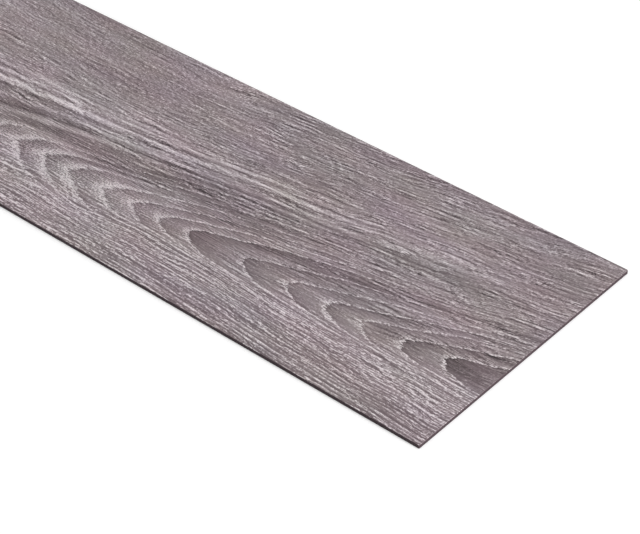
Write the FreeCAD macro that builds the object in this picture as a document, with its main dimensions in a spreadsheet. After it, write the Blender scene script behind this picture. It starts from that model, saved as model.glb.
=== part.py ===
# Plank-format vinyl floor tile: one flexible sheet of filled PVC with a printed wood face.
#
# Millimetres. +X runs along the plank, +Y across it, +Z up out of the printed face.
# The origin is the middle of the underside, the face that is glued to the floor.

import FreeCAD
import Part
import Sketcher

import os

# The sizes that a maker of such tiles would set, in millimetres: 6 by 36 inch stock, 2 mm thick.
DRIVING_SIZES = [
    ("plank_length", 914.4, "along the wood grain"),
    ("plank_width", 152.4, "across the wood grain"),
    ("plank_thickness", 2.0, "underside to printed face"),
    ("corner_radius", 0.5, "upright corners of the die-cut outline"),
    ("face_arris", 0.25, "rounding where the printed face meets the cut edge"),
    ("back_arris", 0.1, "rounding where the underside meets the cut edge"),
]

document = FreeCAD.newDocument("vinyl_floor_tile")


def add_size_sheet():
    """The spreadsheet that every size in the document is bound to."""
    sheet = document.addObject("Spreadsheet::Sheet", "Sizes")
    for row, (alias, value, note) in enumerate(DRIVING_SIZES, start=1):
        sheet.set(f"A{row}", alias)
        sheet.set(f"B{row}", str(value))
        sheet.set(f"C{row}", note)
        sheet.setAlias(f"B{row}", alias)
    document.recompute()
    return sheet


def origin_plane(body, role):
    """One of the body's own three origin planes."""
    return next(plane for plane in body.Origin.OriginFeatures if plane.Role == role)


def add_outline(body):
    """The plank's rectangle on the XY plane, centred on the origin."""
    outline = body.newObject("Sketcher::SketchObject", "PlankOutline")
    outline.AttachmentSupport = (origin_plane(body, "XY_Plane"), [""])
    outline.MapMode = "FlatFace"
    half_length = sizes.plank_length / 2
    half_width = sizes.plank_width / 2
    corners = [
        FreeCAD.Vector(-half_length, -half_width, 0),
        FreeCAD.Vector(half_length, -half_width, 0),
        FreeCAD.Vector(half_length, half_width, 0),
        FreeCAD.Vector(-half_length, half_width, 0),
    ]
    for index, start in enumerate(corners):
        outline.addGeometry(Part.LineSegment(start, corners[(index + 1) % 4]), False)
    for side in range(4):
        outline.addConstraint(Sketcher.Constraint("Coincident", side, 2, (side + 1) % 4, 1))
    outline.addConstraint(Sketcher.Constraint("Horizontal", 0))
    outline.addConstraint(Sketcher.Constraint("Vertical", 1))
    outline.addConstraint(Sketcher.Constraint("Horizontal", 2))
    outline.addConstraint(Sketcher.Constraint("Vertical", 3))
    outline.addConstraint(Sketcher.Constraint("Symmetric", 0, 1, 1, 2, -1, 1))
    long_side = outline.addConstraint(Sketcher.Constraint("DistanceX", 0, 1, 0, 2, 2 * half_length))
    short_side = outline.addConstraint(Sketcher.Constraint("DistanceY", 1, 1, 1, 2, 2 * half_width))
    outline.setExpression(f"Constraints[{long_side}]", "Sizes.plank_length")
    outline.setExpression(f"Constraints[{short_side}]", "Sizes.plank_width")
    return outline


def upright_edges(feature):
    """Names of the edges that stand along Z, the four corners of the outline."""
    names = []
    for number, edge in enumerate(feature.Shape.Edges, start=1):
        low, high = edge.BoundBox.ZMin, edge.BoundBox.ZMax
        if edge.BoundBox.XLength < 1e-6 and edge.BoundBox.YLength < 1e-6 and high > low:
            names.append(f"Edge{number}")
    return names


def face_at_height(feature, height):
    """Name of the level face that lies at one height."""
    for number, face in enumerate(feature.Shape.Faces, start=1):
        box = face.BoundBox
        if box.ZLength < 1e-6 and abs(box.ZMin - height) < 1e-6:
            return f"Face{number}"
    raise RuntimeError(f"there is no level face at {height} mm")


def add_rounding(body, name, base, picked, alias):
    """A fillet of the picked edges, or of all edges round the picked face."""
    rounding = body.newObject("PartDesign::Fillet", name)
    rounding.Base = (base, picked)
    rounding.setExpression("Radius", f"Sizes.{alias}")
    document.recompute()
    return rounding


def build_plank():
    """The one solid: sheet of the full thickness, die-cut corners, eased face and back edges."""
    body = document.addObject("PartDesign::Body", "plank")
    body.Label = "plank"
    outline = add_outline(body)
    document.recompute()

    sheet_stock = body.newObject("PartDesign::Pad", "SheetStock")
    sheet_stock.Profile = outline
    sheet_stock.setExpression("Length", "Sizes.plank_thickness")
    document.recompute()

    cut = add_rounding(body, "DieCutCorners", sheet_stock, upright_edges(sheet_stock), "corner_radius")
    printed_face = face_at_height(cut, sizes.plank_thickness)
    eased = add_rounding(body, "FaceArris", cut, [printed_face], "face_arris")
    glue_face = face_at_height(eased, 0)
    body.Tip = add_rounding(body, "BackArris", eased, [glue_face], "back_arris")
    return body


def check_document(parts):
    """Stops before anything is written if a feature failed or a solid isn't sound."""
    document.recompute()
    failed = [item.Name for item in document.Objects if {"Invalid", "Error"} & set(item.State)]
    if failed:
        raise RuntimeError(f"these objects failed to recompute: {failed}")
    for part in parts:
        shape = part.Shape
        if shape.isNull() or not shape.isValid() or len(shape.Solids) != 1:
            raise RuntimeError(f"{part.Label} isn't one sound solid")


def write_parts(parts):
    os.makedirs("parts", exist_ok=True)
    for part in parts:
        part.Shape.exportStep(f"parts/{part.Label}.step")
        box = part.Shape.optimalBoundingBox(False, False)
        print(
            f"{part.Label}: {box.XLength:.2f} x {box.YLength:.2f} x {box.ZLength:.2f} mm,"
            f" {part.Shape.Volume / 1000:.2f} cm3, {len(part.Shape.Faces)} faces"
        )


sizes = add_size_sheet()
finished_parts = [build_plank()]
check_document(finished_parts)
write_parts(finished_parts)
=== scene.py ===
# Plank-format vinyl floor tile, dressed: embossed limed-oak face, die-cut edge, calendered backing.
# Metres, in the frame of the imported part: +X along the plank, +Y across it, +Z out of the printed face.
import math

import bpy
import numpy as np
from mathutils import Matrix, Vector


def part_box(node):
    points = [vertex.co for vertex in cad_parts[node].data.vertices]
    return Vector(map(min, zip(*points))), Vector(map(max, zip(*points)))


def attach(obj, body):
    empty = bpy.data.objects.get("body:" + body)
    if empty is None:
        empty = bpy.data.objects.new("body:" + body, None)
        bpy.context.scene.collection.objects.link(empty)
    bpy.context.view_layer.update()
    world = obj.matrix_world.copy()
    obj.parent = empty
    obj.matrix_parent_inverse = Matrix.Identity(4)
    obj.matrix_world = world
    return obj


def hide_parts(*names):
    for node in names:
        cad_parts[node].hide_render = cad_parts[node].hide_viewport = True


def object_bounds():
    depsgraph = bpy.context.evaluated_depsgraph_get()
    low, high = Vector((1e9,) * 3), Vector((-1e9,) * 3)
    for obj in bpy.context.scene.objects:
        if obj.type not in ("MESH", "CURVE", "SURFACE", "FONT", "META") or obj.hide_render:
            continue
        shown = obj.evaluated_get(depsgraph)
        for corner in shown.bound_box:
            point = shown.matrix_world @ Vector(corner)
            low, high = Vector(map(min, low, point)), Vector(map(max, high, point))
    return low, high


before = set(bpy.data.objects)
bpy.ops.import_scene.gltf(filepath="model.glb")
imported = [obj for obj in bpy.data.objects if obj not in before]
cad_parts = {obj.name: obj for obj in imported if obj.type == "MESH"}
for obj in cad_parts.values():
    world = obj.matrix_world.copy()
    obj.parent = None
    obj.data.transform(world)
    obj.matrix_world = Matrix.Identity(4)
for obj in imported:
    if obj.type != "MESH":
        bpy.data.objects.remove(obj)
cadLow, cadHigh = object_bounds()
print("frame loaded")

mm = 0.001


def linearColour(hexColour):
    # an sRGB hex value as the linear red, green, blue and alpha that a socket takes
    channels = [int(hexColour[i:i + 2], 16) / 255 for i in (1, 3, 5)]
    curved = [c / 12.92 if c <= 0.04045 else ((c + 0.055) / 1.055) ** 2.4 for c in channels]
    return (*curved, 1.0)


def addNode(tree, kind, links=None, out=0, **settings):
    # links: what goes into each input, by its name or number, as a socket or a plain value
    node = tree.nodes.new(kind)
    for name, value in settings.items():
        setattr(node, name, value)
    for name, value in (links or {}).items():
        if isinstance(value, bpy.types.NodeSocket):
            tree.links.new(value, node.inputs[name])
        else:
            node.inputs[name].default_value = value
    return node.outputs[out] if node.outputs else None


def ends(start, stop, low=0.0, high=1.0):
    # a range and what it turns into, as the inputs that they go into
    return {"From Min": start, "From Max": stop, "To Min": low, "To Max": high}


def readCurve(tree, value, points):
    # looks a value up along given points, with straight runs between them
    low, high = points[0][0], points[-1][0]
    bottom, top = min(b for a, b in points), max(b for a, b in points)
    share = addNode(tree, "ShaderNodeMapRange", {"Value": value, **ends(low, high)})
    curve = addNode(tree, "ShaderNodeFloatCurve", {"Value": share})
    line = curve.node.mapping.curves[0]
    while len(line.points) < len(points):
        line.points.new(0.5, 0.5)
    for point, (a, b) in zip(line.points, points):
        point.location = ((a - low) / (high - low), (b - bottom) / (top - bottom))
        point.handle_type = "VECTOR"
    curve.node.mapping.update()
    return addNode(tree, "ShaderNodeMapRange", {"Value": curve, **ends(0, 1, bottom, top)})


def grainNoise(tree, place, size, detail, out=0):
    # noise drawn out along the grain: size is the length and the width of one cell in millimetres
    cells = addNode(tree, "ShaderNodeVectorMath", {0: place, 1: (1 / size[0], 1 / size[1], 1)},
                    operation="MULTIPLY")
    return addNode(tree, "ShaderNodeTexNoise", {"Vector": cells, "Scale": 1.0, "Detail": detail}, out=out,
                   noise_dimensions="2D")


def nearAndFar(tree, wood, place, nearSize, farSize, detail, out=0):
    # noise of one size on the near side of the heart line, and of another on its far side
    near = grainNoise(tree, place, nearSize, detail, out=out)
    far = grainNoise(tree, place, farSize, detail, out=out)
    if out == 0:
        return addNode(tree, "ShaderNodeMix", {0: wood["toFar"], 2: near, 3: far}, data_type="FLOAT")
    return addNode(tree, "ShaderNodeMix", {0: wood["toFar"], 4: near, 5: far}, out=1, data_type="VECTOR")


# The wood figure, in millimetres from the near right corner of the printed face: x runs back along the
# plank as negative numbers, y runs across it. The print and the relief both read it. Each step below
# adds its nodes to the tree and its sockets, by name, to the dictionary that is called wood.
# A size is a length along the grain and a width across it. A range has its two ends, and then the two
# values that they turn into, unless these are 0 and 1.

# How the grain lies
grain = {
    "heartLine": ((-914, 38), (-700, 47), (-520, 38), (-400, 43), (-292, 41), (-220, 40), (-170, 43),
                  (-112, 44), (-69, 45), (-48, 46), (-25, 49.5), (0, 51)),
    "wanderSize": (90, 35),     # slow wander of everything, and its reach along and across
    "wanderReach": (5.0, 1.4),
    "waveTop": -260.0,          # where the fibres come nearest to the heart line
    "waveLength": 1000.0,
    "waveFloor": (-0.2, 0.4),   # how low the wave goes, and how softly it turns level there
    "waveReach": (-15.0, 30.0, -9.0, 24.0),     # by the distance off the heart line
    "swaySize": (60, 25),
    "swayReach": 8.0,
    "grooveStep": (0.6, 1.4, 0),    # from a pale fibre to its groove, whose darkness is painted shade
    "nearToFar": (-8.0, 2.0),   # off the heart line, from the near side's fibres to the far side's
    "leftToRight": (-225.0, -180.0),    # along the plank, from the ragged left arches to the others
}


def layGrain(tree, wood):
    place = wood["place"]
    x, y, _ = addNode(tree, "ShaderNodeSeparateXYZ", {0: place}).node.outputs
    wander = grainNoise(tree, place, grain["wanderSize"], 2.0, out=1)
    wanderParts = addNode(tree, "ShaderNodeSeparateXYZ", {0: wander}).node.outputs
    wandered = []
    for start, part, reach in zip((x, y), wanderParts, grain["wanderReach"]):
        shift = addNode(tree, "ShaderNodeMath", {0: part, 1: reach, 2: -reach / 2},
                        operation="MULTIPLY_ADD")
        wandered.append(addNode(tree, "ShaderNodeMath", {0: start, 1: shift}, operation="ADD"))
    gridX, gridY = wandered

    heartY = readCurve(tree, x, grain["heartLine"])
    off = addNode(tree, "ShaderNodeMath", {0: gridY, 1: heartY}, operation="SUBTRACT")
    away = addNode(tree, "ShaderNodeMath", {0: off}, operation="ABSOLUTE")

    # fibres: they run on a slow slope of their own, which is steeper on the far side
    turnRate = 2 * math.pi / grain["waveLength"]
    turn = addNode(tree, "ShaderNodeMath", {0: x, 1: turnRate, 2: -grain["waveTop"] * turnRate},
                   operation="MULTIPLY_ADD")
    fullWave = addNode(tree, "ShaderNodeMath", {0: turn}, operation="COSINE")
    least, rounding = grain["waveFloor"]
    wave = addNode(tree, "ShaderNodeMath", {0: fullWave, 1: least, 2: rounding}, operation="SMOOTH_MAX")
    waveReach = addNode(tree, "ShaderNodeMapRange", {"Value": off, **ends(*grain["waveReach"])},
                        interpolation_type="SMOOTHSTEP")
    sway = grainNoise(tree, place, grain["swaySize"], 2.0)
    swayed = addNode(tree, "ShaderNodeMath", {0: sway, 1: grain["swayReach"], 2: gridY},
                     operation="MULTIPLY_ADD")
    fibreY = addNode(tree, "ShaderNodeMath", {0: wave, 1: waveReach, 2: swayed},
                     operation="MULTIPLY_ADD")
    fibre = addNode(tree, "ShaderNodeCombineXYZ", {0: gridX, 1: fibreY})
    beside = addNode(tree, "ShaderNodeVectorMath", {0: fibre, 1: grain["grooveStep"]})

    isFar = addNode(tree, "ShaderNodeMath", {0: off, 1: 0.0}, operation="GREATER_THAN")
    toFar = addNode(tree, "ShaderNodeMapRange", {"Value": off, **ends(*grain["nearToFar"])})
    toRight = addNode(tree, "ShaderNodeMapRange", {"Value": x, **ends(*grain["leftToRight"])})
    wood.update(x=x, y=y, gridX=gridX, gridY=gridY, off=off, away=away, fibre=fibre, beside=beside,
                isFar=isFar, toFar=toFar, toRight=toRight)


# Streaks, hairlines and grit, all over the face. The grit here and the pores below are drawn about
# twice as coarse as real ones, so that they show.
fibres = {
    "nearStreakSize": (30, 1.35),
    "farStreakSize": (25, 1.0),
    "nearStrandSize": (40, 2.0),
    "farStrandSize": (32, 2.0),
    "hairWidth": (0.09, 0.01),  # in the noise of the strands, not in millimetres
    "gritSize": (1.1, 0.5),
    "bandSize": (110, 9),
    "fleckSize": (3.5, 0.9),    # short slanted flecks at the far left, and where they are
    "fleckTurn": 17,
    "fleckAlong": (-200.0, -260.0),
    "fleckAcross": (92.0, 115.0),
}


def addFibres(tree, wood):
    # each pale fibre has a groove beside it: pressed in, and painted dark as the shade that it holds
    for name, place in (("streak", wood["fibre"]), ("grooveAndShade", wood["beside"])):
        wood[name] = nearAndFar(tree, wood, place, fibres["nearStreakSize"], fibres["farStreakSize"],
                                0.0)

    # pale and dark hairlines, where two strands meet
    strands = nearAndFar(tree, wood, wood["fibre"], fibres["nearStrandSize"], fibres["farStrandSize"],
                         0.0, out=1)
    strandParts = addNode(tree, "ShaderNodeSeparateXYZ", {0: strands}).node.outputs
    for name, part in zip(("paleHair", "darkHair"), strandParts):
        shift = addNode(tree, "ShaderNodeMath", {0: part, 1: 0.5}, operation="SUBTRACT")
        fromMeeting = addNode(tree, "ShaderNodeMath", {0: shift}, operation="ABSOLUTE")
        wood[name] = addNode(tree, "ShaderNodeMapRange",
                             {"Value": fromMeeting, **ends(*fibres["hairWidth"])},
                             interpolation_type="SMOOTHSTEP")
    wood["grit"] = grainNoise(tree, wood["fibre"], fibres["gritSize"], 2.0)
    wood["band"] = grainNoise(tree, wood["fibre"], fibres["bandSize"], 1.0)

    # the rays are cut at an angle at the far left
    slanted = addNode(tree, "ShaderNodeVectorRotate",
                      {"Vector": wood["place"], "Angle": math.radians(fibres["fleckTurn"])},
                      rotation_type="Z_AXIS")
    wood["fleck"] = grainNoise(tree, slanted, fibres["fleckSize"], 2.0)
    fleckLeft = addNode(tree, "ShaderNodeMapRange", {"Value": wood["x"], **ends(*fibres["fleckAlong"])},
                        interpolation_type="SMOOTHSTEP")
    wood["fleckShare"] = addNode(tree, "ShaderNodeMapRange",
                                 {"Value": wood["y"], **ends(*fibres["fleckAcross"], 0.0, fleckLeft)},
                                 interpolation_type="SMOOTHSTEP")


# The arches: growth rings that point left, each a limed line with dark wood to its right
arches = {
    # where each tip is on the heart line, how limed it is there and on its far arm, and how dark the
    # wood to its right is
    "tips": (-306.5, -286.5, -267, -249, -225, -205.5, -186.5, -168.5, -135, -108.5, -86.5, -66.5,
             -45, -22.5, 30),
    "tipLime": (0.9, 1.1, 1.2, 1.0, 1.45, 0.9, 1.5, 0.95, 0.6, 0.9, 1.0, 0.85, 0.7, 1.05, 0.5),
    "farArmLime": (0.15, 0.5, 0.5, 0.3, 0.45, 0.3, 0.55, 0.6, 0.65, 0.65, 0.7, 0.55, 0.7, 0.75, 0.35),
    "shade": (0.5, 1.1, 1.2, 0.8, 0.4, 0.7, 0.5, 1.4, 1.0, 0.6, 0.75, 0.2, 1.4, 1.9, 0.5),
    # past these, to the left: the spacing, how slowly it changes and by how much, and the least and the
    # most lime and shade that are drawn by lot
    "spacing": 20.0,
    "growthSize": (55, 1),
    "growthReach": 20.0,
    "drawn": (0.4, 1.3),
    # distance off the heart line, and how far along the plank a ring has run by there: on its far and on
    # its near side, in the left arches and in the others
    "farLeftArm": ((0, 0), (1, 1.8), (4, 4.6), (7, 7.5), (9.5, 13), (12, 21), (14, 30), (19, 54),
                   (24, 75), (29, 103), (34.5, 147), (41.5, 217), (48.5, 292), (60, 430), (80, 700),
                   (120, 1300)),
    "farArm": ((0, 0), (2, 1.2), (4, 4.5), (6, 10.5), (8.6, 19), (11.8, 27.5), (14.3, 35), (18, 46),
               (24, 73), (29, 100), (34.5, 147), (41.5, 217), (48.5, 292), (60, 430), (80, 700),
               (120, 1300)),
    "nearLeftArm": ((0, 0), (1, 2.2), (3, 5.6), (6, 10), (9, 14.5), (13, 22), (16, 31), (18, 44),
                    (19.5, 64), (22.5, 120), (27, 200), (35, 330), (60, 640)),
    "nearArm": ((0, 0), (2, 1), (4, 3.2), (6, 6.5), (8, 11), (9.4, 17), (10.4, 25), (11.6, 42),
                (14, 80), (20, 190), (27, 300), (35, 400), (60, 670)),
    "wobbleSize": (8, 4),
    "wobbleReach": 4.0,
    "jagSize": (8, 0.9),        # how far the noise throws a ring line along the fibres
    "jagLeft": 10.0,
    "jagRight": 5.0,
    "jagSteepness": (2.0, 5.0),
}


def steepness(arm):
    # how many millimetres of ring coordinate go into one millimetre straight across a ring
    return [((a + c) / 2, math.hypot(1, (d - b) / (c - a))) for (a, b), (c, d) in zip(arm, arm[1:])]


def alongArms(tree, wood, curves):
    # looks the distance off the heart line up: near and far, in the left arches and in the others
    nearLeft, farLeft, near, far = (readCurve(tree, wood["away"], points) for points in curves)
    left = addNode(tree, "ShaderNodeMix", {0: wood["isFar"], 2: nearLeft, 3: farLeft}, data_type="FLOAT")
    right = addNode(tree, "ShaderNodeMix", {0: wood["isFar"], 2: near, 3: far}, data_type="FLOAT")
    return addNode(tree, "ShaderNodeMix", {0: wood["toRight"], 2: left, 3: right}, data_type="FLOAT")


def ringShare(tree, ring, shares):
    # given for the first rings, drawn by lot for each ring past them
    handSet = readCurve(tree, ring, list(enumerate(shares)))
    lot = addNode(tree, "ShaderNodeTexWhiteNoise", {"W": ring}, noise_dimensions="1D")
    drawn = addNode(tree, "ShaderNodeMapRange", {"Value": lot, **ends(0, 1, *arches["drawn"])})
    isPast = addNode(tree, "ShaderNodeMath", {0: ring, 1: 0.0}, operation="LESS_THAN")
    return addNode(tree, "ShaderNodeMix", {0: isPast, 2: handSet, 3: drawn}, data_type="FLOAT")


def addRings(tree, wood):
    # ring coordinate: millimetres along the heart line, carried out along each arch
    arms = [arches[name] for name in ("nearLeftArm", "farLeftArm", "nearArm", "farArm")]
    ringMm = addNode(tree, "ShaderNodeMath", {0: wood["gridX"], 1: alongArms(tree, wood, arms)},
                     operation="SUBTRACT")
    steep = alongArms(tree, wood, [steepness(arm) for arm in arms])

    # jagged along the fibres, far more so in the left arches
    wobble = grainNoise(tree, wood["place"], arches["wobbleSize"], 1.0)
    wobbled = addNode(tree, "ShaderNodeMath", {0: wobble, 1: arches["wobbleReach"], 2: ringMm},
                      operation="MULTIPLY_ADD")
    jag = grainNoise(tree, wood["fibre"], arches["jagSize"], 1.0)
    jagMost = addNode(tree, "ShaderNodeMapRange",
                      {"Value": wood["toRight"], **ends(0, 1, arches["jagLeft"], arches["jagRight"])})
    jagReach = addNode(tree, "ShaderNodeMapRange",
                       {"Value": steep, **ends(*arches["jagSteepness"], jagMost, arches["jagRight"])})
    jagShift = addNode(tree, "ShaderNodeMath", {0: jag, 1: 0.5}, operation="SUBTRACT")
    ragged = addNode(tree, "ShaderNodeMath", {0: jagShift, 1: jagReach, 2: wobbled},
                     operation="MULTIPLY_ADD")

    # ring number: whole at each tip, and unevenly spaced past the last one that is listed
    tips = arches["tips"]
    handSet = readCurve(tree, ragged, [(tip, number) for number, tip in enumerate(tips)])
    past = addNode(tree, "ShaderNodeMath", {0: ragged, 1: tips[0]}, operation="SUBTRACT")
    pastOnly = addNode(tree, "ShaderNodeMath", {0: past, 1: 0.0}, operation="MINIMUM")
    alongPast = addNode(tree, "ShaderNodeCombineXYZ", {0: pastOnly})
    growth = grainNoise(tree, alongPast, arches["growthSize"], 0.0)
    growthShift = addNode(tree, "ShaderNodeMath", {0: growth, 1: 0.5}, operation="SUBTRACT")
    uneven = addNode(tree, "ShaderNodeMath", {0: growthShift, 1: arches["growthReach"], 2: pastOnly},
                     operation="MULTIPLY_ADD")
    ringNumber = addNode(tree, "ShaderNodeMath", {0: uneven, 1: 1 / arches["spacing"], 2: handSet},
                         operation="MULTIPLY_ADD")
    phase = addNode(tree, "ShaderNodeMath", {0: ringNumber}, operation="FRACT")
    whole = addNode(tree, "ShaderNodeMath", {0: ringNumber}, operation="FLOOR")
    halfOn = addNode(tree, "ShaderNodeMath", {0: ringNumber, 1: 0.5}, operation="ADD")
    nearest = addNode(tree, "ShaderNodeMath", {0: halfOn}, operation="FLOOR")

    # how far on the next limed line is, and how far back the last one: along the plank and across a ring
    gaps = [(number, after - tip) for number, (tip, after) in enumerate(zip(tips, tips[1:]))]
    gap = readCurve(tree, whole, gaps)
    sinceLine = addNode(tree, "ShaderNodeMath", {0: phase, 1: gap}, operation="MULTIPLY")
    toLine = addNode(tree, "ShaderNodeMath", {0: gap, 1: sinceLine}, operation="SUBTRACT")
    sinceAcross = addNode(tree, "ShaderNodeMath", {0: sinceLine, 1: steep}, operation="DIVIDE")
    toAcross = addNode(tree, "ShaderNodeMath", {0: toLine, 1: steep}, operation="DIVIDE")

    wood.update(ringMm=ringMm, steep=steep, phase=phase, nearest=nearest, toLine=toLine,
                sinceAcross=sinceAcross, toAcross=toAcross,
                shade=ringShare(tree, whole, arches["shade"]),
                tipLime=ringShare(tree, nearest, arches["tipLime"]))


# Fine lines that run with the rings out along the arms, evenly spaced across the plank
armLines = {
    "nearSize": (45, 2.2),
    "farSize": (90, 2.6),
    "start": 20.0,
    "spread": (2.5, 4.6),       # near and far
    "fadeIn": (5.0, 14.0),
    "fadeOut": (40.0, 65.0, 1.0, 0.2),
    "nearShare": 0.5,
    "farShare": (0.9, 0.55),    # left and right
}


def addArmLines(tree, wood):
    fromStart = addNode(tree, "ShaderNodeMath", {0: armLines["start"], 1: wood["ringMm"]},
                        operation="SUBTRACT")
    root = addNode(tree, "ShaderNodeMath", {0: fromStart}, operation="SQRT")
    spread = addNode(tree, "ShaderNodeMapRange", {"Value": wood["isFar"],
                                                  **ends(0, 1, *armLines["spread"])})
    across = addNode(tree, "ShaderNodeMath", {0: root, 1: spread}, operation="MULTIPLY")
    armPlace = addNode(tree, "ShaderNodeCombineXYZ", {0: wood["gridX"], 1: across})
    wood["armLines"] = nearAndFar(tree, wood, armPlace, armLines["nearSize"], armLines["farSize"], 1.0)

    fadeIn = addNode(tree, "ShaderNodeMapRange", {"Value": wood["away"], **ends(*armLines["fadeIn"])},
                     interpolation_type="SMOOTHSTEP")
    fadeOut = addNode(tree, "ShaderNodeMapRange", {"Value": wood["away"], **ends(*armLines["fadeOut"])},
                      interpolation_type="SMOOTHSTEP")
    farShare = addNode(tree, "ShaderNodeMapRange", {"Value": wood["toRight"],
                                                    **ends(0, 1, *armLines["farShare"])})
    sideShare = addNode(tree, "ShaderNodeMapRange", {"Value": wood["isFar"],
                                                     **ends(0, 1, armLines["nearShare"], farShare)})
    bothFades = addNode(tree, "ShaderNodeMath", {0: fadeIn, 1: fadeOut}, operation="MULTIPLY")
    wood["armShare"] = addNode(tree, "ShaderNodeMath", {0: bothFades, 1: sideShare},
                               operation="MULTIPLY")


# Lime on the ring lines, as beads, and the dust beside them
lime = {
    "clumpSize": (1.6, 1.0),
    "beads": (0.36, 0.64, 0.15, 1.65),      # noise of the clumps, and how strong a bead that makes
    "armSteepness": (1.5, 4.0),     # where the tip of an arch turns into its arms
    "tipWidth": (2.4, 1.3),         # left arches, others
    "armWidth": 1.1,
    "crispEdge": 0.2,
    "nearArmLime": 0.5,
    "armShade": (0.2, 0.5),         # what is left of the dark wood on the arms: left arches, others
    "farOut": (5.0, 14.0),          # steepness at which the far arms thin out, and what is left then
    "farLeast": 0.3,
    "dustLength": (10.0, 6.0),      # left arches, others
    "dustTone": (1.0, 0.6),         # left arches, others
    "dustSteepness": (1.3, 4.0, 1.0, 0.35),
    "strewnAway": (14.0, 3.0, 0.0, 0.5),    # specks all along the middle of the left arches
    "strewnAlong": (-190.0, -165.0),
    "chalkSize": (1.3, 0.9),        # a speck shows where its noise is high, the more so in dust
    "chalkDrive": 0.2,
    "chalkLevel": (0.6, 0.75),
}


def addLime(tree, wood):
    steep, toRight, isFar = wood["steep"], wood["toRight"], wood["isFar"]
    onArm = addNode(tree, "ShaderNodeMapRange", {"Value": steep, **ends(*lime["armSteepness"])})

    # both the lime and the dark wood thin out along the arms
    farLeast = addNode(tree, "ShaderNodeMapRange", {"Value": isFar, **ends(0, 1, 1.0, lime["farLeast"])})
    farOut = addNode(tree, "ShaderNodeMapRange", {"Value": steep, **ends(*lime["farOut"], 1.0, farLeast)})
    armShade = addNode(tree, "ShaderNodeMapRange", {"Value": toRight, **ends(0, 1, *lime["armShade"])})
    nearTip = addNode(tree, "ShaderNodeMapRange", {"Value": onArm, **ends(0, 1, 1.0, armShade)})
    thinning = addNode(tree, "ShaderNodeMath", {0: nearTip, 1: farOut}, operation="MULTIPLY")

    # limed line: a chain of chalky beads, crisp against the dark wood on its right
    clump = grainNoise(tree, wood["fibre"], lime["clumpSize"], 1.0)
    beads = addNode(tree, "ShaderNodeMapRange", {"Value": clump, **ends(*lime["beads"])})
    tipWidth = addNode(tree, "ShaderNodeMapRange", {"Value": toRight, **ends(0, 1, *lime["tipWidth"])})
    lineWidth = addNode(tree, "ShaderNodeMix", {0: onArm, 2: tipWidth, 3: lime["armWidth"]},
                        data_type="FLOAT")
    lineBody = addNode(tree, "ShaderNodeMapRange",
                       {"Value": wood["toAcross"], **ends(lineWidth, lime["crispEdge"], 0.0, beads)},
                       interpolation_type="SMOOTHSTEP")
    farArmLime = readCurve(tree, wood["nearest"], list(enumerate(arches["farArmLime"])))
    armLime = addNode(tree, "ShaderNodeMix", {0: isFar, 2: lime["nearArmLime"], 3: farArmLime},
                      data_type="FLOAT")
    allLime = addNode(tree, "ShaderNodeMix", {0: onArm, 2: wood["tipLime"], 3: armLime},
                      data_type="FLOAT")
    lineShare = addNode(tree, "ShaderNodeMath", {0: allLime, 1: farOut}, operation="MULTIPLY")
    limedLine = addNode(tree, "ShaderNodeMath", {0: lineBody, 1: lineShare}, operation="MULTIPLY")

    # lime dust that trails off to the left of each line, longer in the left arches
    dustLength = addNode(tree, "ShaderNodeMapRange", {"Value": toRight,
                                                      **ends(0, 1, *lime["dustLength"])})
    dustTone = addNode(tree, "ShaderNodeMapRange", {"Value": toRight, **ends(0, 1, *lime["dustTone"])})
    atTip = addNode(tree, "ShaderNodeMapRange", {"Value": steep, **ends(*lime["dustSteepness"])})
    dustLime = addNode(tree, "ShaderNodeMath", {0: wood["tipLime"], 1: atTip}, operation="MULTIPLY")
    dustMost = addNode(tree, "ShaderNodeMath", {0: dustLime, 1: beads}, operation="MULTIPLY")
    dust = addNode(tree, "ShaderNodeMapRange",
                   {"Value": wood["toLine"], **ends(dustLength, 0.0, 0.0, dustMost)})

    # and is strewn in specks along the middle
    strewnMost = addNode(tree, "ShaderNodeMapRange", {"Value": wood["away"],
                                                      **ends(*lime["strewnAway"])})
    strewn = addNode(tree, "ShaderNodeMapRange", {"Value": wood["x"],
                                                  **ends(*lime["strewnAlong"], strewnMost, 0.0)})
    chalkShare = addNode(tree, "ShaderNodeMath", {0: dust, 1: strewn}, operation="ADD")
    chalkGrain = grainNoise(tree, wood["fibre"], lime["chalkSize"], 1.0)
    chalkDrive = addNode(tree, "ShaderNodeMath", {0: chalkShare, 1: lime["chalkDrive"], 2: chalkGrain},
                         operation="MULTIPLY_ADD")
    chalk = addNode(tree, "ShaderNodeMapRange", {"Value": chalkDrive, **ends(*lime["chalkLevel"])},
                    interpolation_type="SMOOTHSTEP")
    wood.update(thinning=thinning, limedLine=limedLine, dust=dust, dustTone=dustTone, chalk=chalk,
                chalkGrain=chalkGrain, chalkShare=chalkShare)


# Dark wood to the right of each line: a thin edge, and a broad shade that fades out
darkWood = {
    "edgeWidth": 2.4,
    "edgeStart": 0.3,
    "fade": (0.75, 0.05),       # share of the way to the next line
}


def addDarkWood(tree, wood):
    edgeWidth = addNode(tree, "ShaderNodeMath", {0: wood["thinning"], 1: darkWood["edgeWidth"]},
                        operation="MULTIPLY")
    wood["darkEdge"] = addNode(tree, "ShaderNodeMapRange",
                               {"Value": wood["sinceAcross"],
                                **ends(edgeWidth, darkWood["edgeStart"], 0.0, wood["thinning"])},
                               interpolation_type="SMOOTHSTEP")
    fade = addNode(tree, "ShaderNodeMapRange", {"Value": wood["phase"], **ends(*darkWood["fade"])},
                   interpolation_type="SMOOTHSTEP")
    deep = addNode(tree, "ShaderNodeMath", {0: wood["shade"], 1: wood["thinning"]}, operation="MULTIPLY")
    wood["darkWood"] = addNode(tree, "ShaderNodeMath", {0: fade, 1: deep}, operation="MULTIPLY")
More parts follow.
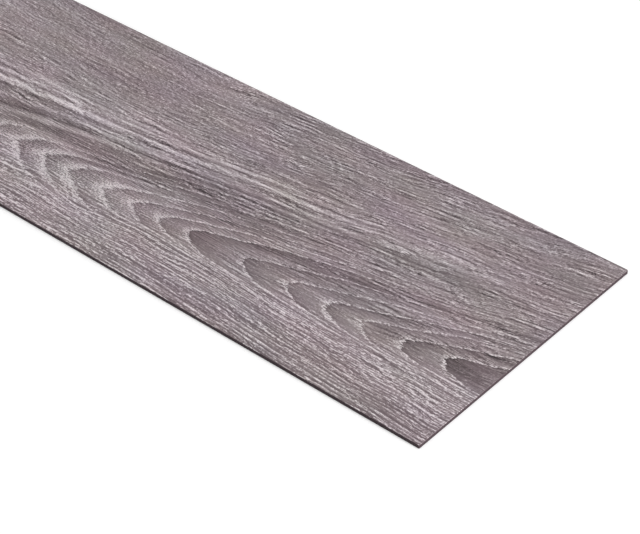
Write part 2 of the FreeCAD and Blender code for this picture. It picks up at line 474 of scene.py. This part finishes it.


# Pores: short dashes, a limed one above a dark one, which is partly painted shade. The dense wood inside
# an arch has few of them.
pores = {
    "tickSize": (4, 0.65),
    "denseShare": (0.9, 0.65),      # left arches, others
    "densePhase": (0.45, 0.8),      # from the dense wood to the open wood, in one ring
    "openAway": (7.0, 18.0),        # off the heart line, past which the wood is open
    "fleckQuiet": 0.6,              # what is left of them among the slanted flecks
    "busySize": (20, 5),
    "busy": (0.3, 0.7, 0.5, 1.5),
    # near side, far side: strength of the streaks, how far the limed fibres stand out from the dark
    # ones, and how limed the pores are
    "strands": (1.65, 1.35),
    "contrast": (1.3, 0.0),
    "limeShare": (1.0, 0.75),
    # a pore shows where its noise is high: a limed one more so in dust, a dark one in dark wood
    "limeDrive": 0.28,
    "limedLevel": (0.58, 0.72),
    "darkDrive": 0.06,
    "darkLevel": (0.55, 0.73),
}


def addPores(tree, wood):
    # the dark ticks lie a step across the grain from the limed ones, as their painted shade
    limedTick, darkTick = (
        addNode(tree, "ShaderNodeSeparateXYZ",
                {0: grainNoise(tree, wood[name], pores["tickSize"], 0.0, out=1)})
        for name in ("fibre", "beside"))
    denseShare = addNode(tree, "ShaderNodeMapRange", {"Value": wood["toRight"],
                                                      **ends(0, 1, *pores["denseShare"])})
    inDense = addNode(tree, "ShaderNodeMapRange", {"Value": wood["phase"],
                                                   **ends(*pores["densePhase"], denseShare, 1.0)})
    atArms = addNode(tree, "ShaderNodeMapRange", {"Value": wood["away"], **ends(*pores["openAway"])},
                     interpolation_type="SMOOTHSTEP")
    openWood = addNode(tree, "ShaderNodeMix", {0: atArms, 2: inDense, 3: 1.0}, data_type="FLOAT")
    busyNoise = grainNoise(tree, wood["fibre"], pores["busySize"], 1.0)
    busy = addNode(tree, "ShaderNodeMapRange", {"Value": busyNoise, **ends(*pores["busy"])})
    lively = addNode(tree, "ShaderNodeMath", {0: openWood, 1: busy}, operation="MULTIPLY")
    quiet = addNode(tree, "ShaderNodeMapRange", {"Value": wood["fleckShare"],
                                                 **ends(0, 1, 1.0, pores["fleckQuiet"])})
    porous = addNode(tree, "ShaderNodeMath", {0: lively, 1: quiet}, operation="MULTIPLY")

    strands, contrast, limeSide = (
        addNode(tree, "ShaderNodeMapRange", {"Value": wood["toFar"], **ends(0, 1, *pores[name])})
        for name in ("strands", "contrast", "limeShare"))
    stranded = addNode(tree, "ShaderNodeMath", {0: porous, 1: strands}, operation="MULTIPLY")
    limeShare = addNode(tree, "ShaderNodeMath", {0: porous, 1: limeSide}, operation="MULTIPLY")
    limedDrive = addNode(tree, "ShaderNodeMath", {0: wood["dust"], 1: pores["limeDrive"], 2: limedTick},
                         operation="MULTIPLY_ADD")
    limedPore = addNode(tree, "ShaderNodeMapRange",
                        {"Value": limedDrive, **ends(*pores["limedLevel"], 0.0, limeShare)},
                        interpolation_type="SMOOTHSTEP")
    darkDrive = addNode(tree, "ShaderNodeMath",
                        {0: wood["darkWood"], 1: pores["darkDrive"], 2: darkTick},
                        operation="MULTIPLY_ADD")
    darkPore = addNode(tree, "ShaderNodeMapRange",
                       {"Value": darkDrive, **ends(*pores["darkLevel"], 0.0, porous)},
                       interpolation_type="SMOOTHSTEP")
    wood.update(porous=porous, stranded=stranded, contrast=contrast, limedPore=limedPore,
                darkPore=darkPore)


# Broad tones, 0 dark to 1 light
tones = {
    # of the rings on the far side, by ring coordinate
    "rings": ((-700, 0.5), (-592, 0.5), (-580, 0.42), (-565, 0.62), (-556, 0.6), (-546, 0.4),
              (-536, 0.8), (-522, 0.85), (-512, 0.45), (-502, 0.42), (-490, 0.55), (-478, 0.95),
              (-458, 0.95), (-450, 0.4), (-440, 0.35), (-427, 0.5), (-414, 0.45), (-397, 0.7),
              (-385, 0.55), (-377, 0.18), (-362, 0.12), (-355, 0.55), (-344, 0.55), (-336, 0.18),
              (-323, 0.2), (-314, 0.4), (-304, 0.22), (-291, 0.45), (-281, 0.3), (-266, 0.4),
              (-253, 0.35), (-229, 0.45), (-165, 0.47), (-154, 0.22), (-143, 0.18), (-136, 0.45),
              (0, 0.45)),
    "ringsRight": (-165.0, -90.0, 1.0, 0.3),    # how the outer rings fade out to the right
    "innerRings": (-200.0, -170.0),     # the inner rings, past these, keep their tone
    "ringsOff": (10.0, 18.0),           # off the heart line, where they begin to show
    # across the plank, which is darker along its two edges
    "across": ((0, 0.29), (12, 0.36), (30, 0.64), (45, 0.48), (60, 0.5), (85, 0.51), (100, 0.52),
               (125, 0.49), (152, 0.4)),
    # darker places in the print: middle, half length, half width, how much
    "darkPlaces": ((-30, 123, 45, 12, 0.03), (-56, 46, 10, 7, 0.06)),
    "darkPlaceRim": (1.0, 0.5),
}


def addBroadTones(tree, wood):
    wood["ringTone"] = readCurve(tree, wood["ringMm"], tones["rings"])
    rightShare = addNode(tree, "ShaderNodeMapRange", {"Value": wood["x"], **ends(*tones["ringsRight"])})
    innerShare = addNode(tree, "ShaderNodeMapRange", {"Value": wood["ringMm"],
                                                      **ends(*tones["innerRings"], rightShare, 1.0)})
    wood["ringToneShare"] = addNode(tree, "ShaderNodeMapRange",
                                    {"Value": wood["off"], **ends(*tones["ringsOff"], 0.0, innerShare)})
    wood["acrossTone"] = readCurve(tree, wood["gridY"], tones["across"])
    darkPlace = 0.0
    for middleX, middleY, halfLength, halfWidth, amount in tones["darkPlaces"]:
        fromMiddle = addNode(tree, "ShaderNodeVectorMath", {0: wood["place"], 1: (middleX, middleY, 0)},
                             operation="SUBTRACT")
        stretched = addNode(tree, "ShaderNodeVectorMath",
                            {0: fromMiddle, 1: (1 / halfLength, 1 / halfWidth, 0)}, operation="MULTIPLY")
        reach = addNode(tree, "ShaderNodeVectorMath", {0: stretched}, out=1, operation="LENGTH")
        inside = addNode(tree, "ShaderNodeMapRange",
                         {"Value": reach, **ends(*tones["darkPlaceRim"], 0.0, amount)},
                         interpolation_type="SMOOTHSTEP")
        darkPlace = addNode(tree, "ShaderNodeMath", {0: inside, 1: darkPlace}, operation="ADD")
    wood["darkPlace"] = darkPlace


def oakFigure(tree, place):
    # adds the nodes of the whole figure to a shader or a geometry tree
    wood = {"place": place}
    for step in (layGrain, addFibres, addRings, addArmLines, addLime, addDarkWood, addPores,
                 addBroadTones):
        step(tree, wood)
    return wood


# Layers of the print, and of the painted shade beside the fibres and pores: the value that changes
# nothing, how far the layer moves the level from dark (0) to light (1) as the eye sees it, and what says
# where it shows, if not everywhere. The long ones are pressed into the mesh too.
longLayers = {
    "acrossTone": (0.5, 0.22, None),
    "darkPlace": (0.0, -1.0, None),
    "ringTone": (0.5, 0.42, "ringToneShare"),
    "band": (0.5, 0.14, None),
    "armLines": (0.5, 0.36, "armShare"),
    "streak": (0.5, 0.19, "stranded"),
    # the groove beside each fibre: its depth is pressed in, its darkness is painted shade
    "grooveAndShade": (0.5, -0.19, "stranded"),
    "paleHair": (0.3, 0.07, "porous"),
    "darkHair": (0.3, -0.07, "porous"),
    "dust": (0.0, 0.04, "dustTone"),
    "chalk": (0.0, 0.16, "dustTone"),
    "chalkGrain": (0.47, 0.5, "chalkShare"),
    "limedLine": (0.0, 0.24, None),
    "darkEdge": (0.0, -0.09, None),
    "darkWood": (0.0, -0.1, None),
}
fineLayers = {
    "grit": (0.5, 0.52, "porous"),
    "fleck": (0.5, 0.32, "fleckShare"),
    "limedPore": (0.0, 0.19, None),
    # the dark pores are partly painted shade below the limed ones
    "darkPore": (0.0, -0.09, None),
}

# Embossed PVC wear layer over a printed film: satin-matt, grey-brown with chalky limed pores.
wearLayer = {
    "baseLevel": 0.507,
    "contrastLevel": 0.55,      # the limed fibres lighten away from this level
    "toneStops": (("#1D1114", 0.10), ("#45373B", 0.235), ("#6D5F63", 0.392), ("#94878A", 0.549),
                  ("#BDB1B5", 0.706), ("#E3D9DC", 0.863)),
    "patchSize": (50, 22),      # faint patches of brown, green-grey and lilac in the print
    "patchShare": 0.075,
    "bumpDepth": 0.2 * mm,      # from black to white
    "roughness": 0.55,
    "ior": 1.53,
}


def printLevel(tree, wood, layers):
    # how light or dark the print is, 0 black to 1 white as the eye sees it
    level = wearLayer["baseLevel"]
    for name, (neutral, amount, share) in layers.items():
        shift = addNode(tree, "ShaderNodeMath", {0: wood[name], 1: neutral}, operation="SUBTRACT")
        shown = addNode(tree, "ShaderNodeMath", {0: shift, 1: wood[share] if share else 1.0},
                        operation="MULTIPLY")
        level = addNode(tree, "ShaderNodeMath", {0: shown, 1: amount, 2: level},
                        operation="MULTIPLY_ADD")

    # on the near side the limed fibres stand out more than the dark ones
    above = addNode(tree, "ShaderNodeMath", {0: level, 1: wearLayer["contrastLevel"]},
                    operation="SUBTRACT")
    squared = addNode(tree, "ShaderNodeMath", {0: above, 1: above}, operation="MULTIPLY")
    return addNode(tree, "ShaderNodeMath", {0: squared, 1: wood["contrast"], 2: level},
                   operation="MULTIPLY_ADD")


def newMaterial(name):
    material = bpy.data.materials.new(name)
    material.use_nodes = True
    material.node_tree.nodes.clear()
    return material, material.node_tree


def finishSurface(tree, finish, level, relief, patches=None):
    # colours one of the plank's three surfaces by a level, tints it where there are patches, and bumps
    # it by a relief from 0 to 1
    tone = addNode(tree, "ShaderNodeValToRGB", {0: level})
    stops = tone.node.color_ramp.elements
    for number, (hexColour, at) in enumerate(finish["toneStops"]):
        stop = stops[number] if number < 2 else stops.new(at)
        stop.position = at
        stop.color = linearColour(hexColour)
    if patches is not None:
        tone = addNode(tree, "ShaderNodeMix", {0: finish["patchShare"], 6: tone, 7: patches}, out=2,
                       data_type="RGBA", blend_type="OVERLAY")
    height = addNode(tree, "ShaderNodeMath", {0: relief, 1: finish["bumpDepth"]}, operation="MULTIPLY")
    bump = addNode(tree, "ShaderNodeBump", {"Strength": 1.0, "Distance": 1.0, "Height": height})
    shader = addNode(tree, "ShaderNodeBsdfPrincipled",
                     {"Base Color": tone, "Roughness": finish["roughness"], "IOR": finish["ior"],
                      "Normal": bump})
    addNode(tree, "ShaderNodeOutputMaterial", {"Surface": shader})


def makeWearLayer():
    material, tree = newMaterial("embossed PVC wear layer, limed oak print")
    coords = addNode(tree, "ShaderNodeTexCoord", out=3)
    place = addNode(tree, "ShaderNodeMapping",
                    {"Vector": coords, "Location": (-cadHigh.x / mm, -cadLow.y / mm, 0),
                     "Scale": (1 / mm, 1 / mm, 1 / mm)})
    level = printLevel(tree, oakFigure(tree, place), longLayers | fineLayers)
    patches = grainNoise(tree, place, wearLayer["patchSize"], 4.0, out=1)
    finishSurface(tree, wearLayer, level, level, patches)
    return material


# Die-cut filled PVC: dark grey-brown and dull, with the knife's faint upright drag marks. Part of the
# darkness is painted shadow: the colour is set below the PVC's own to stand for a contact shadow along
# the edge.
cutEdge = {
    "dragPerMetre": (2500, 2500, 400),      # marks 0.4 mm wide and 2.5 mm high
    # darker than the bare PVC: partly its own colour, partly painted contact shadow
    "toneStops": (("#32242A", 0.3), ("#47353B", 0.7)),
    "bumpDepth": 0.03 * mm,
    "roughness": 0.75,
    "ior": 1.53,
}


def makeCutEdge():
    material, tree = newMaterial("die-cut filled PVC edge, darkened with painted shadow")
    coords = addNode(tree, "ShaderNodeTexCoord", out=3)
    place = addNode(tree, "ShaderNodeMapping", {"Vector": coords, "Scale": cutEdge["dragPerMetre"]})
    drag = addNode(tree, "ShaderNodeTexNoise", {"Vector": place, "Scale": 1.0, "Detail": 3.0})
    finishSurface(tree, cutEdge, drag, drag)
    return material


# Calendered vinyl backing: plain grey, faintly mottled, with the fine even grain of the roller.
backing = {
    "mottlePerMm": 0.05,
    "grainPerMm": 1.4,
    "grainShare": 0.5,
    "toneStops": (("#625E5F", 0.5), ("#726D6F", 1.0)),
    "bumpDepth": 0.06 * mm,
    "roughness": 0.65,
    "ior": 1.53,
}


def makeBacking():
    material, tree = newMaterial("calendered vinyl backing")
    coords = addNode(tree, "ShaderNodeTexCoord", out=3)
    place = addNode(tree, "ShaderNodeMapping", {"Vector": coords, "Scale": (1 / mm, 1 / mm, 1 / mm)})
    mottle = addNode(tree, "ShaderNodeTexNoise",
                     {"Vector": place, "Scale": backing["mottlePerMm"], "Detail": 4.0})
    rollerGrain = addNode(tree, "ShaderNodeTexNoise",
                          {"Vector": place, "Scale": backing["grainPerMm"], "Detail": 2.0})
    both = addNode(tree, "ShaderNodeMath", {0: rollerGrain, 1: backing["grainShare"], 2: mottle},
                   operation="MULTIPLY_ADD")
    finishSurface(tree, backing, both, rollerGrain)
    return material


# The plank's own mesh
plankMesh = {
    "cellsAlong": 286,          # of the embossed grid
    "cellsAcross": 300,
    "border": 1.2 * mm,         # plain rim round it
    "cornerRadius": 0.45 * mm,  # of the face, inside its arris
    "faceArris": 0.25 * mm,
    "backArris": 0.1 * mm,
    "reliefDepth": 0.1 * mm,
    "pressedLevels": (0.35, 0.65),      # of the print: fully pressed in, and not at all
    "touch": 0.01 * mm,         # places nearer than this count as the same
    "smoothAngle": 35,
}


def selectWhere(test):
    # in edit mode, selects the vertices that pass the test, and the edges and faces between them
    bpy.ops.mesh.select_mode(type="VERT")
    bpy.ops.mesh.select_all(action="DESELECT")
    bpy.ops.object.mode_set(mode="OBJECT")
    vertices = bpy.context.object.data.vertices
    places = np.empty(len(vertices) * 3)
    vertices.foreach_get("co", places)
    vertices.foreach_set("select", test(*places.reshape(-1, 3).T))
    bpy.ops.object.mode_set(mode="EDIT")


def makePlank():
    low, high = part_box("plank")
    size = high - low
    arris, backArris = plankMesh["faceArris"], plankMesh["backArris"]
    inset, touch = plankMesh["border"], plankMesh["touch"]
    bpy.ops.object.select_all(action="DESELECT")
    bpy.ops.mesh.primitive_grid_add(x_subdivisions=plankMesh["cellsAlong"],
                                    y_subdivisions=plankMesh["cellsAcross"], size=1,
                                    location=(0, 0, high.z))
    plank = bpy.context.object
    plank.name = "embossed_plank"
    plank.scale = (size.x - 2 * inset, size.y - 2 * inset, 1)
    bpy.ops.object.transform_apply(location=True, rotation=True, scale=True)
    bpy.ops.object.mode_set(mode="EDIT")

    def drawOutline(old, new, drop):
        # extrudes the open edge from one inset of the outline to another, and lowers it
        bpy.ops.mesh.extrude_region_move(TRANSFORM_OT_translate={"value": (0, 0, -drop)})
        bpy.ops.transform.resize(value=((size.x - 2 * new) / (size.x - 2 * old),
                                        (size.y - 2 * new) / (size.y - 2 * old), 1),
                                 center_override=(0, 0, 0))

    # plain rim out to the arris: each corner is made one face, and its outer point is rounded
    bpy.ops.mesh.select_all(action="SELECT")
    bpy.ops.mesh.region_to_loop()
    drawOutline(inset, arris, 0)
    endX, endY = high.x - arris - touch, high.y - arris - touch
    selectWhere(lambda x, y, z: ((abs(x) > high.x - inset - touch) & (abs(y) > high.y - inset - touch)
                                 & ((abs(x) > endX) == (abs(y) > endY))))
    bpy.ops.mesh.select_mode(type="EDGE")
    bpy.ops.mesh.dissolve_edges(use_verts=False)
    selectWhere(lambda x, y, z: (abs(x) > endX) & (abs(y) > endY))
    bpy.ops.mesh.bevel(offset=plankMesh["cornerRadius"], segments=4, affect="VERTICES")

    # eased arris, straight die-cut wall, eased back edge and the closed underside
    bpy.ops.mesh.select_all(action="SELECT")
    bpy.ops.mesh.region_to_loop()
    for turn in (0, 30, 60):
        a, b = math.radians(turn), math.radians(turn + 30)
        drawOutline(arris * (1 - math.sin(a)), arris * (1 - math.sin(b)),
                    arris * (math.cos(a) - math.cos(b)))
    drawOutline(0, 0, size.z - arris - backArris)
    for turn in (0, 45):
        a, b = math.radians(turn), math.radians(turn + 45)
        drawOutline(backArris * (1 - math.cos(a)), backArris * (1 - math.cos(b)),
                    backArris * (math.sin(b) - math.sin(a)))
    bpy.ops.mesh.edge_face_add()
    bpy.ops.object.mode_set(mode="OBJECT")
    print("plank mesh:", len(plank.data.polygons), "faces")
    return plank


def emboss(plank):
    # presses the figure into the face: its dark parts go down, and nothing stands above the sheet
    tree = bpy.data.node_groups.new("embossing plate", "GeometryNodeTree")
    tree.interface.new_socket("Geometry", in_out="INPUT", socket_type="NodeSocketGeometry")
    tree.interface.new_socket("Geometry", in_out="OUTPUT", socket_type="NodeSocketGeometry")
    mesh = addNode(tree, "NodeGroupInput")
    position = addNode(tree, "GeometryNodeInputPosition")
    place = addNode(tree, "ShaderNodeVectorMath",
                    {0: position, 1: (1 / mm, 1 / mm, 0), 2: (-cadHigh.x / mm, -cadLow.y / mm, 0)},
                    operation="MULTIPLY_ADD")
    level = printLevel(tree, oakFigure(tree, place), longLayers)
    depth = addNode(tree, "ShaderNodeMapRange",
                    {"Value": level,
                     **ends(*plankMesh["pressedLevels"], -plankMesh["reliefDepth"], 0.0)})
    height = addNode(tree, "ShaderNodeSeparateXYZ", {0: position}, out=2)
    onFace = addNode(tree, "ShaderNodeMapRange",
                     {"Value": height, **ends(cadHigh.z - plankMesh["touch"],
                                              cadHigh.z - plankMesh["touch"] / 2)})
    offset = addNode(tree, "ShaderNodeCombineXYZ", {2: depth})
    pressed = addNode(tree, "GeometryNodeSetPosition", {"Geometry": mesh, "Selection": onFace,
                                                        "Offset": offset})
    addNode(tree, "NodeGroupOutput", {0: pressed})
    modifier = plank.modifiers.new("embossing", "NODES")
    modifier.node_group = tree
    bpy.ops.object.modifier_apply(modifier=modifier.name)
    bpy.data.node_groups.remove(tree)
    print("face embossed")


def addMaterials(plank):
    # the face and most of its arris are printed, the wall is cut, the underside is the backing
    for material in (makeWearLayer(), makeCutEdge(), makeBacking()):
        plank.data.materials.append(material)
    for face in plank.data.polygons:
        if face.normal.z > 0.5:
            face.material_index = 0
        elif face.normal.z < -0.9:
            face.material_index = 2
        else:
            face.material_index = 1


plank = makePlank()
emboss(plank)
addMaterials(plank)
bpy.ops.object.select_all(action="DESELECT")
plank.select_set(True)
bpy.context.view_layer.objects.active = plank
bpy.ops.object.shade_smooth_by_angle(angle=math.radians(plankMesh["smoothAngle"]))
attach(plank, "root")
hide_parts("plank")
print("plank made")

# Stage: a plain pale floor and soft studio light
stage = {
    "floorSize": 8.0,
    "floorDrop": 0.02 * mm,
    "floorTone": "#D0D0D0",     # as the light sees it. The camera sees white that glows a little.
    "floorSeen": "#FFFFFF",
    "floorGlow": 0.1,
    "worldLight": 0.5,
    # key overhead, and a low one that faces the cut end: power, size, place
    "softboxes": {"key": (59.0, 2.4, (1.2, 0.5, 4.2)), "low": (98.0, 1.2, (3.2, 0.0, 0.45))},
}


def makeFloor():
    bpy.ops.object.select_all(action="DESELECT")
    bpy.ops.mesh.primitive_plane_add(size=stage["floorSize"], location=(0, 0, -stage["floorDrop"]))
    floor = bpy.context.object
    floor.name = "floor"
    material, tree = newMaterial("white studio floor")
    seen = addNode(tree, "ShaderNodeLightPath").node.outputs["Is Camera Ray"]
    colour = addNode(tree, "ShaderNodeMix", {0: seen, 6: linearColour(stage["floorTone"]),
                                             7: linearColour(stage["floorSeen"])},
                     out=2, data_type="RGBA")
    diffuse = addNode(tree, "ShaderNodeBsdfDiffuse", {"Color": colour})
    strength = addNode(tree, "ShaderNodeMath", {0: seen, 1: stage["floorGlow"]}, operation="MULTIPLY")
    glow = addNode(tree, "ShaderNodeEmission", {"Strength": strength})
    shader = addNode(tree, "ShaderNodeAddShader", {0: diffuse, 1: glow})
    addNode(tree, "ShaderNodeOutputMaterial", {"Surface": shader})
    floor.data.materials.append(material)


def makeLight():
    world = bpy.data.worlds.new("studio")
    bpy.context.scene.world = world
    world.use_nodes = True
    tree = world.node_tree
    tree.nodes.clear()
    seen = addNode(tree, "ShaderNodeLightPath").node.outputs["Is Camera Ray"]
    strength = addNode(tree, "ShaderNodeMix", {0: seen, 2: stage["worldLight"], 3: 1.0},
                       data_type="FLOAT")
    sky = addNode(tree, "ShaderNodeBackground", {"Color": (1, 1, 1, 1), "Strength": strength})
    addNode(tree, "ShaderNodeOutputWorld", {"Surface": sky})

    for name, (power, size, place) in stage["softboxes"].items():
        bpy.ops.object.light_add(type="AREA", location=place,
                                 rotation=(-Vector(place)).to_track_quat("-Z", "Y").to_euler())
        softbox = bpy.context.object
        softbox.name = name + " softbox"
        softbox.data.shape = "SQUARE"
        softbox.data.size = size
        softbox.data.energy = power


makeFloor()
makeLight()
print("stage made")

# Camera, solved from the plank's edges and corners in the photograph
view = {
    "lens": 111.8,
    "place": (0.8130, -0.5506, 0.5650),
    "azimuth": 40.8,
    "elevation": 38.45,
}


def makeCamera():
    azimuth, elevation = math.radians(view["azimuth"]), math.radians(view["elevation"])
    back = Vector((math.sin(azimuth) * math.cos(elevation), -math.cos(azimuth) * math.cos(elevation),
                   math.sin(elevation)))
    bpy.ops.object.camera_add(location=view["place"],
                              rotation=(-back).to_track_quat("-Z", "Y").to_euler())
    camera = bpy.context.object
    camera.data.lens = view["lens"]
    camera.data.clip_start = 0.01
    bpy.context.scene.camera = camera


makeCamera()
bpy.context.scene.view_settings.view_transform = "Standard"
print("camera made")
